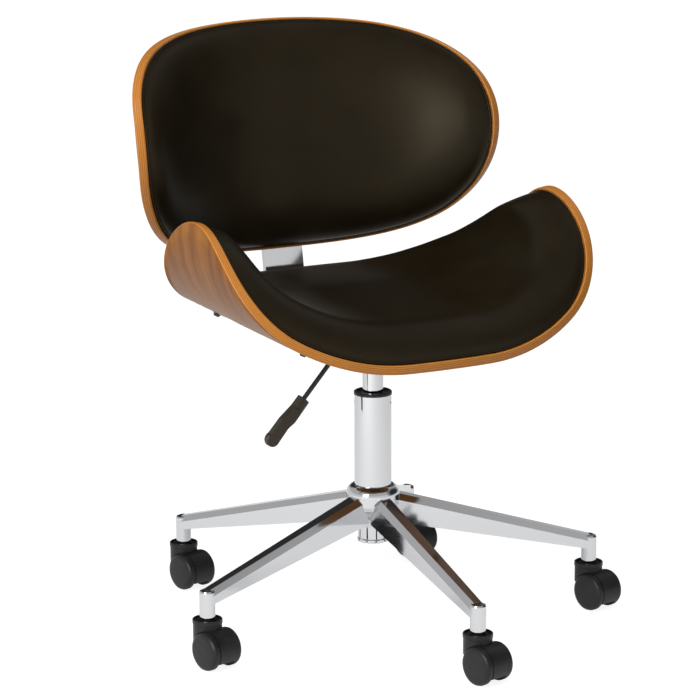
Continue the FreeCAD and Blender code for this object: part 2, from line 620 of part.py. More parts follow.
def build():
    """Builds every node and writes it."""
    os.makedirs("parts", exist_ok=True)

    hub = hub_outside()
    save("base_hub", base_hub())
    leg = base_leg(hub)
    stems = []
    for k in range(LEG_COUNT):
        save("base_leg_%d" % (k + 1), at_heading(leg.copy(), LEG_START + 360.0 * k / LEG_COUNT))
        stems.append(at_leg(caster_stem(), k, 0))
    save("caster_stems", *stems)

    wheel = caster_wheel()
    far_wheel = wheel.copy()
    far_wheel.rotate(V(0, -TRAIL, 0), Z_AXIS, 180)
    yoke = caster_yoke()
    axle = caster_axle()
    for k in range(LEG_COUNT):
        save("caster_yoke_%d" % (k + 1), at_leg(yoke, k, CASTER_HEADING))
        save("caster_axle_%d" % (k + 1), at_leg(axle, k, CASTER_HEADING))
        save("caster_wheel_%d_a" % (k + 1), at_leg(wheel, k, CASTER_HEADING))
        save("caster_wheel_%d_b" % (k + 1), at_leg(far_wheel, k, CASTER_HEADING))

    bearing, thick = BEARING
    save("column_tube", column_tube())
    save("column_collar", column_collar())
    save("guide_bush", guide_bush())
    save("thrust_bearing", ring(ROD_RADIUS + FIT, bearing, TUBE_LOW + 3, TUBE_LOW + 3 + thick))
    save("piston_rod", piston_rod())
    save("rod_clip", ring(ROD_RADIUS, 2 * ROD_RADIUS, TUBE_LOW - ROOM - 1.5, TUBE_LOW - ROOM).cut(
        block(0, FAR, -0.8 * ROD_RADIUS, 0.8 * ROD_RADIUS, HUB_BOTTOM, TUBE_LOW)))
    save("piston_head", piston_head())
    save("pressure_tube", pressure_tube())
    save("tube_seal", ring(ROD_RADIUS + FIT, LIFT_BORE, LIFT_LOW + 2, LIFT_LOW + 2 + SEAL))
    save("valve_block", valve_block())
    pin_low, pin_top = LIFT_TOP - 0.7 * VALVE[1], LEVER_PIVOT[1] - LEVER_ROD - ROOM
    save("release_pin", Part.makeCylinder(PIN_RADIUS, pin_top - pin_low, V(0, 0, pin_low)))

    save("seat_plate", seat_plate())
    above = placed(block(-FAR, FAR, -FAR, FAR, -PLATE, FAR), SEAT_PLACE)
    save("mechanism_pan", mechanism_pan(above))
    save("cone_socket", cone_socket())
    x, z = LEVER_PIVOT
    save("lever_pin", Part.makeCylinder(PIN_RADIUS, 2 * PAN[1] + 6, V(x, -PAN[1] - 3, z), Y_AXIS))
    save("lever_rod", lever_rod())
    save("lever_handle", lever_handle())
    save("back_bracket", back_bracket())

    seat_blank, back_blank = blank_curve(SEAT_BLANK), blank_curve(BACK_BLANK)
    seat_shell, seat_pad = bent_shell(SEAT_BEND, seat_blank), bent_pad(SEAT_BEND, seat_blank, SEAT_PAD)
    back_shell, back_pad = bent_shell(BACK_BEND, back_blank), bent_pad(BACK_BEND, back_blank, BACK_PAD)
    seat_screws = [pad_screw(SEAT_BEND, s, y) for s, y in SEAT_SCREWS]
    back_screws = [pad_screw(BACK_BEND, s, y) for s, y in BACK_SCREWS]
    seat_shell = seat_shell.cut([nut_seat(x, y) for x, y in PLATE_BOLTS + FOOT_BOLTS] + seat_screws)
    back_shell = back_shell.cut([nut_seat(x, y) for x, y in BACK_BOLTS] + back_screws)
    save("seat_shell", placed(seat_shell, SEAT_PLACE))
    save("seat_pad", placed(seat_pad.cut(seat_screws), SEAT_PLACE))
    save("back_shell", placed(back_shell, BACK_PLACE))
    save("back_pad", placed(back_pad.cut(back_screws), BACK_PLACE))
    save("seat_pad_screws", *[placed(s, SEAT_PLACE) for s in seat_screws])
    save("back_pad_screws", *[placed(s, BACK_PLACE) for s in back_screws])
    save("seat_tee_nuts", *[placed(tee_nut(x, y), SEAT_PLACE) for x, y in PLATE_BOLTS + FOOT_BOLTS])
    save("back_tee_nuts", *[placed(tee_nut(x, y), BACK_PLACE) for x, y in BACK_BOLTS])
    save("plate_bolts", *[placed(bolt(x, y, PLATE), SEAT_PLACE) for x, y in PLATE_BOLTS])
    save("bracket_bolts", *[placed(bolt(x, y, PLATE + BAR[1]), SEAT_PLACE) for x, y in FOOT_BOLTS])
    save("back_bolts", *[placed(bolt(x, y, BAR[1]), BACK_PLACE) for x, y in BACK_BOLTS])


build()
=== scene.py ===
import json
import logging
import math
from dataclasses import dataclass
from enum import Enum
from typing import Mapping, NamedTuple, Sequence

import bpy
import numpy as np
from mathutils import Matrix, Vector


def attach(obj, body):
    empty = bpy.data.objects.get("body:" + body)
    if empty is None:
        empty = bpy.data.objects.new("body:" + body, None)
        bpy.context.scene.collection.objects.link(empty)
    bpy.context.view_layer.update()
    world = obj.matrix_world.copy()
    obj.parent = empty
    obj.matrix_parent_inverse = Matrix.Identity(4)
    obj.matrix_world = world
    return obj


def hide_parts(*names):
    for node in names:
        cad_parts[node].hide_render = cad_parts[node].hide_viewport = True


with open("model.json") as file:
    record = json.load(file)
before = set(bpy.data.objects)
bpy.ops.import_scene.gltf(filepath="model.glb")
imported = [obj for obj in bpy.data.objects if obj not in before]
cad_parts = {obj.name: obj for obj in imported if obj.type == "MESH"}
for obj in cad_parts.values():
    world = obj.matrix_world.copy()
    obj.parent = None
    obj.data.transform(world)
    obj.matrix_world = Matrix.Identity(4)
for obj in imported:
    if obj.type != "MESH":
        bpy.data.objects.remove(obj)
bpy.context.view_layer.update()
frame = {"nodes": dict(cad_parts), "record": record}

LOG = logging.getLogger("office_chair")
MM = 0.001


class Side(Enum):
    """What a loop of a plywood sheet's skin lies on, as material slots of its mesh."""

    FACE = 0
    EDGE = 1


class Route(Enum):
    """Material slots of the record, each with one finish."""

    CHROME = "chrome"
    NYLON = "nylon"
    BLACK_STEEL = "black_steel"
    BRIGHT_STEEL = "bright_steel"
    RUBBER = "seal_rubber"
    PLY = "walnut_ply"
    LEATHERETTE = "leatherette"


# Shader helpers

def linear(hex_colour: str) -> tuple[float, float, float, float]:
    """Turns an sRGB hex value to linear light.

    Args:
        hex_colour: six hex digits after a number sign.

    Returns:
        Red, green, blue and an alpha of 1.
    """
    parts = [int(hex_colour[k:k + 2], 16) / 255 for k in (1, 3, 5)]
    light = [p / 12.92 if p <= 0.04045 else ((p + 0.055) / 1.055) ** 2.4 for p in parts]
    return (*light, 1.0)


def add(tree: bpy.types.NodeTree, kind: str, settings: Mapping[str, object] | None = None,
        inputs: Mapping[object, object] | None = None,
        stops: Sequence[tuple[float, str]] = ()) -> bpy.types.Node:
    """Adds one node with its settings, values, links and colour stops.

    Args:
        tree: the node tree to add to.
        kind: the node's type name.
        settings: attributes of the node by name.
        inputs: values or output sockets by input name or number.
        stops: places and sRGB hex colours of a colour ramp, in order.

    Returns:
        The new node.
    """
    node = tree.nodes.new(kind)
    for name, value in (settings or {}).items():
        setattr(node, name, value)
    for name, value in (inputs or {}).items():
        socket = node.inputs[name]
        if isinstance(value, bpy.types.NodeSocket):
            tree.links.new(value, socket)
        else:
            socket.default_value = value
    for number, (place, colour) in enumerate(stops):
        elements = node.color_ramp.elements
        element = elements[number] if number < len(elements) else elements.new(place)
        element.position, element.color = place, linear(colour)
    return node


def new_material(name: str) -> tuple[bpy.types.Material, bpy.types.NodeTree]:
    """Makes an empty node material.

    Args:
        name: the material's name.

    Returns:
        The material and its cleared node tree.
    """
    material = bpy.data.materials.new(name)
    material.use_nodes = True
    material.node_tree.nodes.clear()
    return material, material.node_tree


# Finishes. A pair of roughness values is the least and the most that the surface has.

# A plated mirror: it shows the studio sharply, and the polisher's faint waves bend the reflections.
@dataclass(frozen=True)
class ChromePlate:
    """Bright chromium plate on polished steel."""

    tint: str = "#cbccce"
    roughness: tuple[float, float] = (0.042, 0.096)
    wave_mm: float = 45.0
    wave_depth_mm: float = 2.0

    def material(self) -> bpy.types.Material:
        """Builds the plate.

        Returns:
            The material.
        """
        material, tree = new_material("polished_chromium_plate")
        place = add(tree, "ShaderNodeTexCoord").outputs["Object"]
        wave = add(tree, "ShaderNodeTexNoise", inputs={
            "Vector": place, "Scale": 1 / (self.wave_mm * MM), "Detail": 2.0}).outputs["Fac"]
        rough = add(tree, "ShaderNodeMapRange", inputs={
            "Value": wave, "To Min": self.roughness[0], "To Max": self.roughness[1]})
        bump = add(tree, "ShaderNodeBump", inputs={
            "Height": wave, "Strength": 0.03, "Distance": self.wave_depth_mm * MM})
        shader = add(tree, "ShaderNodeBsdfPrincipled", inputs={
            "Base Color": linear(self.tint), "Metallic": 1.0, "Roughness": rough.outputs["Result"],
            "Normal": bump.outputs["Normal"]})
        add(tree, "ShaderNodeOutputMaterial", inputs={"Surface": shader.outputs[0]})
        return material


# Grinding leaves fine rings round the axis, which stretch the highlights. They are drawn coarser than
# real ones.
@dataclass(frozen=True)
class GroundSteel:
    """Centreless-ground, zinc-plated steel."""

    tint: str = "#c9cacc"
    roughness: tuple[float, float] = (0.154, 0.286)
    ring_mm: float = 0.8
    round_mm: float = 50.0

    def material(self) -> bpy.types.Material:
        """Builds the steel.

        Returns:
            The material.
        """
        material, tree = new_material("ground_zinc_plated_steel")
        place = add(tree, "ShaderNodeTexCoord").outputs["Object"]
        around, along = 1 / (self.round_mm * MM), 1 / (self.ring_mm * MM)
        rings = add(tree, "ShaderNodeMapping", inputs={"Vector": place, "Scale": (around, around, along)})
        noise = add(tree, "ShaderNodeTexNoise", inputs={
            "Vector": rings.outputs[0], "Scale": 1.0, "Detail": 3.0})
        rough = add(tree, "ShaderNodeMapRange", inputs={
            "Value": noise.outputs["Fac"], "To Min": self.roughness[0], "To Max": self.roughness[1]})
        shader = add(tree, "ShaderNodeBsdfPrincipled", inputs={
            "Base Color": linear(self.tint), "Metallic": 1.0, "Roughness": rough.outputs["Result"]})
        add(tree, "ShaderNodeOutputMaterial", inputs={"Surface": shader.outputs[0]})
        return material


# The eroded mould leaves an even satin grain, drawn coarser than the real 0.1 mm one.
@dataclass(frozen=True)
class Moulding:
    """A dark moulding from a spark-eroded mould: glass-filled nylon unless its name says rubber."""

    name: str = "moulded_black_nylon"
    dark: str = "#131314"
    light: str = "#1c1c1e"
    roughness: tuple[float, float] = (0.35, 0.48)
    grain_mm: float = 0.9
    grain_depth_mm: float = 0.4
    cloud_mm: float = 25.0

    def material(self) -> bpy.types.Material:
        """Builds the moulding's skin.

        Returns:
            The material.
        """
        material, tree = new_material(self.name)
        place = add(tree, "ShaderNodeTexCoord").outputs["Object"]
        grain = add(tree, "ShaderNodeTexNoise", inputs={
            "Vector": place, "Scale": 1 / (self.grain_mm * MM), "Detail": 2.0})
        cloud = add(tree, "ShaderNodeTexNoise", inputs={
            "Vector": place, "Scale": 1 / (self.cloud_mm * MM), "Detail": 3.0}).outputs["Fac"]
        colour = add(tree, "ShaderNodeValToRGB", inputs={"Fac": cloud}, stops=(
            (0.35, self.dark), (0.7, self.light)))
        rough = add(tree, "ShaderNodeMapRange", inputs={
            "Value": cloud, "To Min": self.roughness[0], "To Max": self.roughness[1]})
        bump = add(tree, "ShaderNodeBump", inputs={
            "Height": grain.outputs["Fac"], "Strength": 0.12, "Distance": self.grain_depth_mm * MM})
        shader = add(tree, "ShaderNodeBsdfPrincipled", inputs={
            "Base Color": colour.outputs["Color"], "Roughness": rough.outputs["Result"], "IOR": 1.53,
            "Specular IOR Level": 0.28, "Normal": bump.outputs["Normal"]})
        add(tree, "ShaderNodeOutputMaterial", inputs={"Surface": shader.outputs[0]})
        return material


# The baked powder flows out to a low gloss with a slight orange peel.
@dataclass(frozen=True)
class PowderCoat:
    """Black polyester powder coat, baked on pressed steel."""

    dark: str = "#141416"
    light: str = "#1c1c1f"
    roughness: float = 0.36
    peel_mm: float = 2.2
    peel_depth_mm: float = 0.4

    def material(self) -> bpy.types.Material:
        """Builds the coat.

        Returns:
            The material.
        """
        material, tree = new_material("baked_black_powder_coat")
        place = add(tree, "ShaderNodeTexCoord").outputs["Object"]
        peel = add(tree, "ShaderNodeTexNoise", inputs={
            "Vector": place, "Scale": 1 / (self.peel_mm * MM), "Detail": 1.0}).outputs["Fac"]
        bump = add(tree, "ShaderNodeBump", inputs={
            "Height": peel, "Strength": 0.15, "Distance": self.peel_depth_mm * MM})
        colour = add(tree, "ShaderNodeValToRGB", inputs={"Fac": peel}, stops=(
            (0.3, self.dark), (0.8, self.light)))
        shader = add(tree, "ShaderNodeBsdfPrincipled", inputs={
            "Base Color": colour.outputs["Color"], "Roughness": self.roughness, "IOR": 1.5,
            "Normal": bump.outputs["Normal"]})
        add(tree, "ShaderNodeOutputMaterial", inputs={"Surface": shader.outputs[0]})
        return material


# The pressed pebbles scatter light to a soft, slightly warm satin sheen. They are drawn at twice their size.
@dataclass(frozen=True)
class Leatherette:
    """Polyurethane-coated cloth, embossed with a leather grain."""

    dark: str = "#0f0a03"
    light: str = "#161006"
    sheen: str = "#ffeecf"
    roughness: tuple[float, float] = (0.36, 0.48)
    grain_mm: float = 1.6
    grain_depth_mm: float = 0.6
    cloud_mm: float = 70.0

    def material(self) -> bpy.types.Material:
        """Builds the cover.

        Returns:
            The material.
        """
        material, tree = new_material("embossed_leatherette")
        place = add(tree, "ShaderNodeTexCoord").outputs["Object"]
        pebble = add(tree, "ShaderNodeTexVoronoi", {"feature": "SMOOTH_F1"}, {
            "Vector": place, "Scale": 1 / (self.grain_mm * MM), "Smoothness": 0.6})
        cloud = add(tree, "ShaderNodeTexNoise", inputs={
            "Vector": place, "Scale": 1 / (self.cloud_mm * MM), "Detail": 4.0}).outputs["Fac"]
        colour = add(tree, "ShaderNodeValToRGB", inputs={"Fac": cloud}, stops=(
            (0.3, self.dark), (0.72, self.light)))
        rough = add(tree, "ShaderNodeMapRange", inputs={
            "Value": cloud, "To Min": self.roughness[0], "To Max": self.roughness[1]})
        bump = add(tree, "ShaderNodeBump", inputs={
            "Height": pebble.outputs["Distance"], "Strength": 0.1, "Distance": self.grain_depth_mm * MM})
        shader = add(tree, "ShaderNodeBsdfPrincipled", inputs={
            "Base Color": colour.outputs["Color"], "Roughness": rough.outputs["Result"], "IOR": 1.48,
            "Specular IOR Level": 0.26, "Specular Tint": linear(self.sheen), "Normal": bump.outputs["Normal"]})
        add(tree, "ShaderNodeOutputMaterial", inputs={"Surface": shader.outputs[0]})
        return material


# Slicing shows long brown figure with fine dark pores. The pores are drawn about three times too wide.
@dataclass(frozen=True)
class WalnutVeneer:
    """Sliced walnut veneer under sprayed satin lacquer."""

    figure: tuple[tuple[float, str], ...] = (
        (0.25, "#603815"), (0.45, "#7b4b1b"), (0.6, "#8d5b27"), (0.8, "#a27139"))
    figure_mm: float = 22.0
    figure_along: float = 0.05
    sweep_share: float = 0.45
    figure_level: float = 0.69
    pore_mm: float = 1.4
    pore_along: float = 0.03
    pore_depth_mm: float = 0.3
    roughness: float = 0.36

    def material(self) -> bpy.types.Material:
        """Builds the veneer on the blank's flat coordinates, U along the grain.

        Returns:
            The material.
        """
        material, tree = new_material("lacquered_walnut_veneer")
        flat = add(tree, "ShaderNodeUVMap", {"uv_map": "blank"}).outputs["UV"]
        wide, fine = 1 / (self.figure_mm * MM), 1 / (self.pore_mm * MM)
        drawn = add(tree, "ShaderNodeMapping", inputs={
            "Vector": flat, "Scale": (wide * self.figure_along, wide, 1.0)}).outputs[0]
        sweep = add(tree, "ShaderNodeTexNoise", inputs={"Vector": drawn, "Scale": 0.6, "Detail": 2.0})
        streak = add(tree, "ShaderNodeTexNoise", inputs={
            "Vector": drawn, "Scale": 1.6, "Detail": 6.0, "Roughness": 0.62, "Distortion": 0.5})
        mixed = add(tree, "ShaderNodeMath", {"operation": "MULTIPLY_ADD"}, {
            0: sweep.outputs["Fac"], 1: self.sweep_share, 2: streak.outputs["Fac"]})
        level = add(tree, "ShaderNodeMath", {"operation": "MULTIPLY"}, {
            0: mixed.outputs[0], 1: self.figure_level})
        colour = add(tree, "ShaderNodeValToRGB", inputs={"Fac": level.outputs[0]}, stops=self.figure)
        lines = add(tree, "ShaderNodeMapping", inputs={
            "Vector": flat, "Scale": (fine * self.pore_along, fine, 1.0)})
        pores = add(tree, "ShaderNodeTexNoise", inputs={
            "Vector": lines.outputs[0], "Scale": 1.0, "Detail": 3.0})
        dark = add(tree, "ShaderNodeMapRange", inputs={
            "Value": pores.outputs["Fac"], "From Min": 0.36, "From Max": 0.5, "To Min": 0.76,
            "To Max": 1.0}).outputs["Result"]
        toned = add(tree, "ShaderNodeMix", {"data_type": "RGBA", "blend_type": "MULTIPLY"}, {
            "Factor": 1.0, "A": colour.outputs["Color"], "B": dark})
        bump = add(tree, "ShaderNodeBump", inputs={
            "Height": dark, "Strength": 0.12, "Distance": self.pore_depth_mm * MM})
        shader = add(tree, "ShaderNodeBsdfPrincipled", inputs={
            "Base Color": toned.outputs["Result"], "Roughness": self.roughness, "IOR": 1.5,
            "Specular IOR Level": 0.14, "Normal": bump.outputs["Normal"]})
        add(tree, "ShaderNodeOutputMaterial", inputs={"Surface": shader.outputs[0]})
        return material


# Sanding shows the plies as honey-coloured bands, every other one end grain and darker. The fibres are drawn
# coarser than real ones.
@dataclass(frozen=True)
class PlyEdge:
    """Birch plywood edge, routed, sanded and lacquered."""

    plies: tuple[tuple[float, str], ...] = ((0.1, "#8c531a"), (0.45, "#a36523"), (0.9, "#ad732f"))
    ply_mm: float = 12.0
    layers: int = 9
    wobble_mm: float = 0.4
    wobble_length_mm: float = 100 / 3
    fibre_mm: float = 1.1
    fibre_along: float = 0.07

    def material(self) -> bpy.types.Material:
        """Builds the edge, V through the thickness and U along the rim.

        Returns:
            The material.
        """
        material, tree = new_material("sanded_birch_ply_edge")
        flat = add(tree, "ShaderNodeUVMap", {"uv_map": "blank"}).outputs["UV"]
        parts = add(tree, "ShaderNodeSeparateXYZ", inputs={"Vector": flat})
        wobble = add(tree, "ShaderNodeTexNoise", inputs={
            "Vector": flat, "Scale": 1 / (self.wobble_length_mm * MM), "Detail": 2.0})
        depth = add(tree, "ShaderNodeMath", {"operation": "MULTIPLY_ADD"}, {
            0: wobble.outputs["Fac"], 1: self.wobble_mm * MM, 2: parts.outputs["Y"]})
        count = add(tree, "ShaderNodeMath", {"operation": "MULTIPLY"}, {
            0: depth.outputs[0], 1: self.layers / (self.ply_mm * MM)})
        layer = add(tree, "ShaderNodeMath", {"operation": "PINGPONG"}, {0: count.outputs[0], 1: 1.0})
        bands = add(tree, "ShaderNodeValToRGB", inputs={"Fac": layer.outputs[0]}, stops=self.plies)
        fine = 1 / (self.fibre_mm * MM)
        along = add(tree, "ShaderNodeMapping", inputs={
            "Vector": flat, "Scale": (fine * self.fibre_along, fine, 1.0)})
        fibre = add(tree, "ShaderNodeTexNoise", inputs={
            "Vector": along.outputs[0], "Scale": 1.0, "Detail": 4.0})
        shade = add(tree, "ShaderNodeMapRange", inputs={
            "Value": fibre.outputs["Fac"], "From Min": 0.3, "From Max": 0.7, "To Min": 0.86, "To Max": 1.06})
        toned = add(tree, "ShaderNodeMix", {"data_type": "RGBA", "blend_type": "MULTIPLY"}, {
            "Factor": 1.0, "A": bands.outputs["Color"], "B": shade.outputs["Result"]})
        shader = add(tree, "ShaderNodeBsdfPrincipled", inputs={
            "Base Color": toned.outputs["Result"], "Roughness": 0.34, "IOR": 1.5,
            "Specular IOR Level": 0.3, "Coat Weight": 0.08, "Coat Roughness": 0.25})
        add(tree, "ShaderNodeOutputMaterial", inputs={"Surface": shader.outputs[0]})
        return material


# Mesh helpers

def ring_mesh(name: str, loops: Sequence[np.ndarray], closed: bool = False) -> bpy.types.Object:
    """Joins closed loops of points into one skin, with a fan at each end unless the loops close on themselves.

    Args:
        name: the object's name.
        loops: arrays of the same number of points.
        closed: whether the last loop joins the first, as on a bead.

    Returns:
        The new object, linked to the scene.
    """
    count, points = len(loops[0]), [tuple(p) for loop in loops for p in loop]
    faces = []
    last = len(loops) if closed else len(loops) - 1
    for row in range(last):
        a, b = row * count, (row + 1) % len(loops) * count
        faces += [(a + k, a + (k + 1) % count, b + (k + 1) % count, b + k) for k in range(count)]
    if not closed:
        for start, turn in ((0, -1), ((len(loops) - 1) * count, 1)):
            points.append(tuple(np.mean(points[start:start + count], axis=0)))
            ends = [(start + k, start + (k + 1) % count, len(points) - 1) for k in range(count)]
            faces += [face[::turn] for face in ends]
    mesh = bpy.data.meshes.new(name)
    mesh.from_pydata(points, [], faces)
    mesh.shade_smooth()
    made = bpy.data.objects.new(name, mesh)
    bpy.context.scene.collection.objects.link(made)
    return made


def dress(piece: bpy.types.Object, *materials: bpy.types.Material) -> None:
    """Gives a piece its materials in slot order.

    Args:
        piece: the object to dress.
        materials: one material for each slot.
    """
    piece.data.materials.clear()
    for material in materials:
        piece.data.materials.append(material)


# Plywood and pads

# Shares of the way to the middle where a sheet's face has its loops. The first stops short of one point.
FACE_DRAWS = (0.97, 0.92, 0.85, 0.77, 0.69, 0.61, 0.53, 0.45, 0.37, 0.29, 0.21, 0.13, 0.05, 0.0)
EASE_STEPS = 4
# The same for a pad's underside, and for the last loop of its top.
UNDER_DRAWS = (0.97, 0.85, 0.7, 0.55, 0.4, 0.25, 0.1)
TOP_DRAW = 0.97
# Points that ring_mesh adds after all loops, one in the middle of each end.
FANS = 2


class Row(NamedTuple):
    """One closed loop of a sheet's skin. Millimetres, and a share for the draw to the middle."""

    inset: float
    draw: float
    up: float
    side: Side


@dataclass(frozen=True)
class BentSheet:
    """A flat plywood blank bent on a chain of arcs, in the frame that it is mounted in. Millimetres."""

    name: str
    bend: tuple[tuple[float, float | None], ...]
    blank: tuple[tuple[float, float], ...]
    origin: tuple[float, float, float]
    turn: float
    ply: float = 12.0
    around: int = 192
    edge_round: float = 1.6

    def wrap(self, s: np.ndarray, y: np.ndarray, up: np.ndarray | float) -> np.ndarray:
        """Places points of the blank on the bent sheet.

        Args:
            s: distance along the bend from the middle.
            y: distance across the bend.
            up: distance above the outer face.

        Returns:
            Points in the row frame, in metres.
        """
        x, z, angle, left = np.zeros_like(s), np.zeros_like(s), np.zeros_like(s), np.abs(s)
        for run, radius in self.bend:
            step = np.minimum(left, run)
            if radius is None:
                x, z = x + step * np.cos(angle), z + step * np.sin(angle)
            else:
                after = angle + step / radius
                x = x + radius * (np.sin(after) - np.sin(angle))
                z = z + radius * (np.cos(angle) - np.cos(after))
                angle = after
            left = left - step
        local = np.stack([np.sign(s) * (x - up * np.sin(angle)), y, z + up * np.cos(angle)], axis=-1)
        turn = np.array(Matrix.Rotation(math.radians(self.turn), 3, "X"))
        return (local @ turn.T + np.array(self.origin)) * MM

    def outline(self) -> tuple[np.ndarray, np.ndarray]:
        """Samples the blank's closed outline, a cubic B-spline.

        Returns:
            Points and unit normals that point in, one row for each sample.
        """
        poles = np.array(self.blank + tuple((-s, y) for s, y in self.blank[-2:0:-1]), float)
        place = np.arange(self.around) / self.around * len(poles)
        first = np.floor(place).astype(int)
        u = (place - first)[:, None]
        weights = ((1 - u) ** 3 / 6, (3 * u ** 3 - 6 * u ** 2 + 4) / 6,
                   (3 * u + 3 * u ** 2 - 3 * u ** 3 + 1) / 6, u ** 3 / 6)
        points = sum(w * poles[(first + k - 1) % len(poles)] for k, w in enumerate(weights))
        along = np.roll(points, -1, 0) - np.roll(points, 1, 0)
        along /= np.linalg.norm(along, axis=1)[:, None]
        return points, np.stack([-along[:, 1], along[:, 0]], axis=1)

    def flat_loop(self, inset: float | np.ndarray, draw: float = 0.0) -> np.ndarray:
        """The flat outline, moved in by one inset or one for each point, and drawn by a share to the middle."""
        points, normals = self.outline()
        return (points + np.reshape(inset, (-1, 1)) * normals) * (1 - draw)

    def loop(self, inset: float, up: float, draw: float = 0.0) -> np.ndarray:
        """One closed loop, wrapped on the bent sheet at a height above its outer face, in metres."""
        flat = self.flat_loop(inset, draw)
        return self.wrap(flat[:, 0], flat[:, 1], up)

    def build(self, veneer: bpy.types.Material, edge: bpy.types.Material) -> bpy.types.Object:
        """Builds the sheet with eased edges and its flat coordinates.

        Args:
            veneer: material of both faces.
            edge: material of the rim.

        Returns:
            The sheet.
        """
        r = self.edge_round
        quarter = [math.pi / 2 / EASE_STEPS * k for k in range(EASE_STEPS + 1)]
        rows = [Row(r, draw, 0.0, Side.FACE) for draw in FACE_DRAWS]
        rows += [Row(r - r * math.sin(a), 0.0, r - r * math.cos(a), Side.EDGE) for a in quarter]
        rows += [Row(r - r * math.cos(a), 0.0, self.ply - r + r * math.sin(a), Side.EDGE) for a in quarter]
        rows += [Row(r, draw, self.ply, Side.FACE) for draw in reversed(FACE_DRAWS)]
        piece = ring_mesh(self.name, [self.loop(row.inset, row.up, row.draw) for row in rows])
        dress(piece, veneer, edge)
        self.map_blank(piece, rows)
        return piece

    def map_blank(self, piece: bpy.types.Object, rows: Sequence[Row]) -> None:
        """Writes the flat coordinates and the side of each face.

        Args:
            piece: the sheet's object.
            rows: its loops, from the middle of the outer face to the middle of the inner one.
        """
        count = self.around
        flats = [self.flat_loop(row.inset, row.draw) * MM for row in rows]
        rim = self.flat_loop(0.0) * MM
        steps = np.linalg.norm(np.roll(rim, -1, 0) - rim, axis=1)
        length = np.concatenate([[0.0], np.cumsum(steps)])
        layer = piece.data.uv_layers.new(name="blank")
        for polygon in piece.data.polygons:
            first = min(v // count for v in polygon.vertices)
            on_edge = any(row.side is Side.EDGE for row in rows[first:first + 2])
            polygon.material_index = (Side.EDGE if on_edge else Side.FACE).value
            wraps = {v % count for v in polygon.vertices if v < count * len(rows)} == {0, count - 1}
            for corner, vertex in zip(polygon.loop_indices, polygon.vertices):
                if vertex >= count * len(rows):
                    layer.data[corner].uv = (0.0, 0.0)
                elif on_edge:
                    k = vertex % count
                    along = length[count] if wraps and k == 0 else length[k]
                    layer.data[corner].uv = (along, rows[vertex // count].up * MM)
                else:
                    layer.data[corner].uv = flats[vertex // count][vertex % count]


@dataclass(frozen=True)
class CoverCloth:
    """The sewn cover as the cloth simulation takes it."""

    quality: int = 5
    mass: float = 0.3
    stretch: float = 18.0
    bend: float = 2.0
    pressure: float = 3.0
    steps: int = 15


